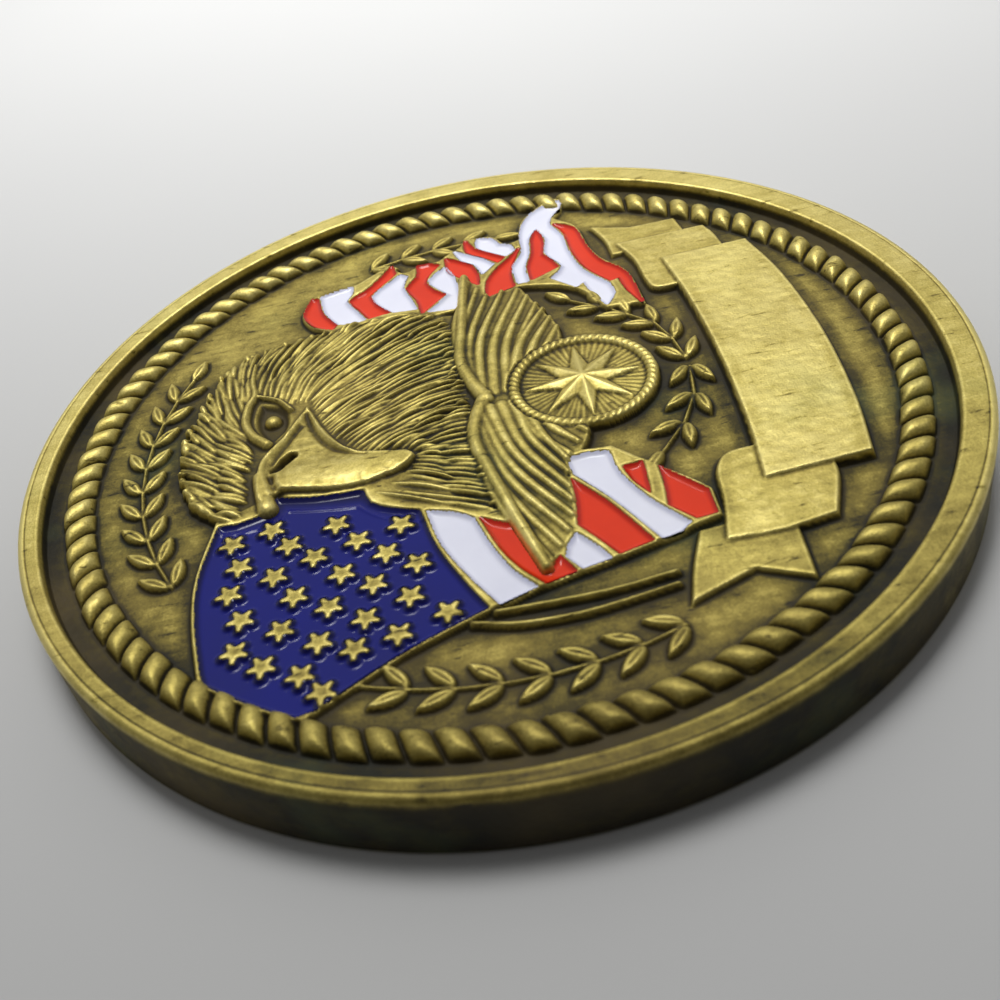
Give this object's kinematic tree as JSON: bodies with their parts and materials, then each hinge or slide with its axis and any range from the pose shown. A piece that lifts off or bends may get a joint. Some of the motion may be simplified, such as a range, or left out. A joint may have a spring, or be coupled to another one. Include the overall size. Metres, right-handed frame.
{
  "type": "challenge coin",
  "caption": "Round struck brass coin with a raised rim, rope borders, an eagle's head and ribbon in relief, and a flag of soft-enamel cells.",
  "frame": {"origin": "centre of the coin's underside, in the plane of the reverse rim", "axes": "+Z out of the obverse; +Y towards the top of the obverse's design, above the eagle's head; +X to the right-hand side of the design"},
  "size_m": [0.0508, 0.0508, 0.0038],
  "materials": {
    "antique_brass": "die struck, antiqued: dark in the hollows and rubbed bright on the high relief",
    "enamel_blue": "cured soft enamel, glossy",
    "enamel_red": "cured soft enamel, glossy",
    "enamel_white": "cured soft enamel, glossy"
  },
  "bodies": {
    "root": {"struck_coin": "antique_brass", "enamel_blue_canton": "enamel_blue", "enamel_red_left_1": "enamel_red", "enamel_red_left_2": "enamel_red", "enamel_red_left_3": "enamel_red", "enamel_red_left_4": "enamel_red", "enamel_red_right_1": "enamel_red", "enamel_red_right_2": "enamel_red", "enamel_red_right_3": "enamel_red", "enamel_red_right_4": "enamel_red", "enamel_red_right_5": "enamel_red", "enamel_red_right_6": "enamel_red", "enamel_red_right_7": "enamel_red", "enamel_red_right_8": "enamel_red", "enamel_white_left_1": "enamel_white", "enamel_white_left_2": "enamel_white", "enamel_white_left_3": "enamel_white", "enamel_white_right_1": "enamel_white", "enamel_white_right_2": "enamel_white", "enamel_white_right_3": "enamel_white", "enamel_white_right_4": "enamel_white", "enamel_white_right_5": "enamel_white", "enamel_white_right_6": "enamel_white"}
  },
  "joints": []
}
